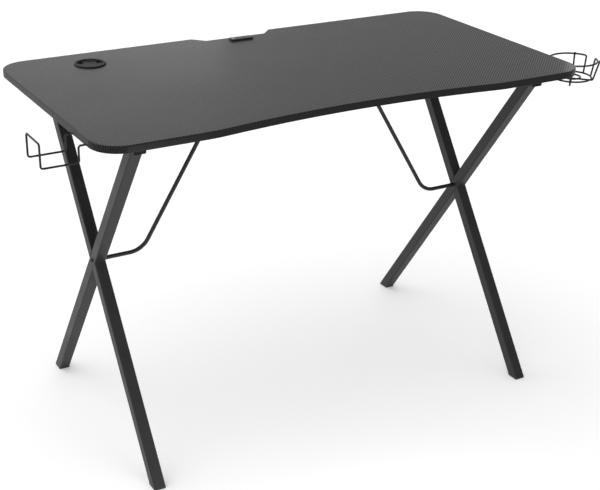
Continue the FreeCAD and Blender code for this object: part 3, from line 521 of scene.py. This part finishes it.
def frameWelds(side, look):
    low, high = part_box(f"{side}_upper_half_leg")
    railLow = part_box(f"{side}_top_rail")[0]
    plateLow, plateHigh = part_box(f"{side}_brace_plate")
    inset = look["tubeRoundMm"] / mmPerMetre
    left, right = low.x + inset, high.x - inset
    crossing = low.z  # both half legs meet the long leg at this height
    reach = crossingReach(side, crossing, look)
    rise = reach * (high.z - crossing) / (high.y - reach)  # of the half leg over that width
    headBack, headFront = high.y, high.y - 2 * reach
    seams = [(reach, crossing), (-reach, crossing), (0.0, crossing + rise), (0.0, crossing - rise)]
    seams += [(y, railLow.z) for y in (headBack, headFront, -headBack, -headFront)]
    runs = []
    for y, z in seams:
        runs.append((straightRun(Vector((left, y, z)), Vector((right, y, z)), look), False))
    middle = Vector(((plateLow.x + plateHigh.x) / 2, 0.0, plateLow.z))
    halfRod = look["rodClearMm"] / mmPerMetre
    across, along = Vector((halfRod * look["rodLean"], 0, 0)), Vector((0, halfRod, 0))
    runs.append((ellipseRun(middle, across, along, look), True))
    weldPiece(f"{side}FrameWelds", runs, look)


for side in "left", "right":
    frameWelds(side, weldLook)
print("welds done")


# Stage: a pale floor, soft light that is strongest from behind and the left, and two weak lamps

floorLook = {"size": 120.0, "colour": "#f4f4f4", "lift": 0.22, "roughness": 0.9}


def makeFloor(look):
    half = look["size"] / 2
    corners = [(-half, -half, 0), (half, -half, 0), (half, half, 0), (-half, half, 0)]
    mesh = bpy.data.meshes.new("floor")
    mesh.from_pydata(corners, [], [(0, 1, 2, 3)])
    floor = bpy.data.objects.new("floor", mesh)
    scene.collection.objects.link(floor)
    # rolled matt paint, lifted to white where it is seen: clean ground that keeps the shadow
    settings = {
        "Base Color": toLinear(look["colour"]),
        "Roughness": look["roughness"],
        "Emission Color": toLinear(white),
    }
    material, tree, shader = newMaterial("painted studio floor", settings)
    path = addNode(tree, "ShaderNodeLightPath")
    seen = path.outputs["Is Camera Ray"]
    for kind in "Is Glossy Ray", "Is Transmission Ray":
        ray = path.outputs[kind]
        seen = addNode(tree, "ShaderNodeMath", {0: seen, 1: ray}, operation="MAXIMUM").outputs[0]
    lift = addNode(tree, "ShaderNodeMath", {0: seen, 1: look["lift"]}, operation="MULTIPLY").outputs[0]
    tree.links.new(lift, shader.inputs["Emission Strength"])
    # clear from below, so the feet can be seen
    under = addNode(tree, "ShaderNodeNewGeometry").outputs["Backfacing"]
    clear = addNode(tree, "ShaderNodeBsdfTransparent").outputs[0]
    either = addNode(tree, "ShaderNodeMixShader", {0: under, 1: shader.outputs[0], 2: clear}).outputs[0]
    tree.links.new(either, tree.nodes["Material Output"].inputs["Surface"])
    mesh.materials.append(material)


lightLook = {"level": 0.58, "right": -0.6, "back": 0.5, "up": 0.5, "least": 0.35}
windowLook = {  # a low window behind the desk, brightest at its right edge
    "turnDeg": 27.0,  # bearing of the right edge, from straight back towards the right
    "edge": 0.012,  # softness, width and rise are measured on a ball of radius one
    "width": 0.3,
    "rise": (0.295, 0.2),  # from where it ends above to where it is full
    "level": 1.9,
}


def makeWorld(look, window):
    world = bpy.data.worlds.new("studio")
    scene.world = world
    world.use_nodes = True
    tree = world.node_tree
    background = tree.nodes["Background"]
    direction = addNode(tree, "ShaderNodeTexCoord").outputs["Generated"]
    bearing = math.radians(window["turnDeg"])
    brightest = (look["right"], look["back"], look["up"])
    sideways = (math.cos(bearing), -math.sin(bearing), 0.0)
    forwards = (math.sin(bearing), math.cos(bearing), 0.0)
    slope, aside, ahead = [
        addNode(tree, "ShaderNodeVectorMath", {0: direction, 1: way}, operation="DOT_PRODUCT").outputs[1]
        for way in (brightest, sideways, forwards)
    ]
    level = addNode(tree, "ShaderNodeMath", {0: slope, 1: look["level"]}, operation="ADD").outputs[0]
    soft = addNode(tree, "ShaderNodeMath", {0: level, 1: look["least"]}, operation="MAXIMUM").outputs[0]
    rise = addNode(tree, "ShaderNodeSeparateXYZ", {0: direction}).outputs[2]
    pane = addNode(tree, "ShaderNodeMath", {0: ahead, 1: 0.0}, operation="GREATER_THAN").outputs[0]
    for measure, (none, full) in (
        (aside, (0.0, -window["edge"])),
        (aside, (-window["width"], -window["edge"])),
        (rise, window["rise"]),
    ):
        share = addNode(tree, "ShaderNodeMapRange", {0: measure, 1: none, 2: full}).outputs[0]
        pane = addNode(tree, "ShaderNodeMath", {0: pane, 1: share}, operation="MULTIPLY").outputs[0]
    glow = addNode(tree, "ShaderNodeMath", {0: pane, 1: window["level"]}, operation="MULTIPLY").outputs[0]
    strength = addNode(tree, "ShaderNodeMath", {0: soft, 1: glow}, operation="ADD").outputs[0]
    tree.links.new(strength, background.inputs["Strength"])
    background.inputs["Color"].default_value = toLinear(white)


softboxLooks = {  # in metres: one for the worktop's right end, one for the front of the left frame
    "rightSoftbox": {"place": (1.68, 0.72, 1.15), "aim": (0.58, -0.26, 0.75), "size": 0.35, "watts": 0.6},
    "frontSoftbox": {"place": (-0.2, -1.1, 0.15), "aim": (-0.48, 0.0, 0.4), "size": 0.5, "watts": 5.0},
}


def makeSoftbox(name, look):
    data = bpy.data.lights.new(name, "AREA")
    data.size = look["size"]
    data.energy = look["watts"]
    lamp = bpy.data.objects.new(name, data)
    scene.collection.objects.link(lamp)
    lamp.visible_camera = False
    place, aim = Vector(look["place"]), Vector(look["aim"])
    turn = (aim - place).to_track_quat("-Z", "Y").to_matrix()
    lamp.matrix_world = Matrix.Translation(place) @ turn.to_4x4()


makeFloor(floorLook)
makeWorld(lightLook, windowLook)
for name, look in softboxLooks.items():
    makeSoftbox(name, look)
print("stage done")


# Camera: solved from the photograph's outlines

cameraLook = {
    "placeMm": (-1286.14, -2229.95, 1497.37),
    "yaw": 0.52725,  # angles in radians
    "pitch": 0.42008,
    "roll": 0.01777,
    "focalPx": 1238.16,
    "centrePx": (295.667, 237.906),
    "framePx": (600, 490),
    "sensorMm": 36.0,
    "farthest": 200.0,  # metres
}


def makeCamera(look):
    yaw, pitch, roll = look["yaw"], look["pitch"], look["roll"]
    ahead = Vector((math.sin(yaw) * math.cos(pitch), math.cos(yaw) * math.cos(pitch), -math.sin(pitch)))
    right = Vector((math.cos(yaw), -math.sin(yaw), 0.0))
    up = right.cross(ahead)
    tiltedRight = right * math.cos(roll) + up * math.sin(roll)
    tiltedUp = up * math.cos(roll) - right * math.sin(roll)
    data = bpy.data.cameras.new("photoCamera")
    camera = bpy.data.objects.new("photoCamera", data)
    scene.collection.objects.link(camera)
    turn = Matrix((tiltedRight, tiltedUp, -ahead)).transposed()
    camera.matrix_world = Matrix.Translation(Vector(look["placeMm"]) / mmPerMetre) @ turn.to_4x4()
    wide, high = look["framePx"]
    data.sensor_width = look["sensorMm"]
    data.lens = look["sensorMm"] * look["focalPx"] / wide
    data.shift_x = (wide / 2 - look["centrePx"][0]) / wide
    data.shift_y = (look["centrePx"][1] - high / 2) / wide
    data.clip_end = look["farthest"]
    scene.camera = camera


makeCamera(cameraLook)
print("camera done")
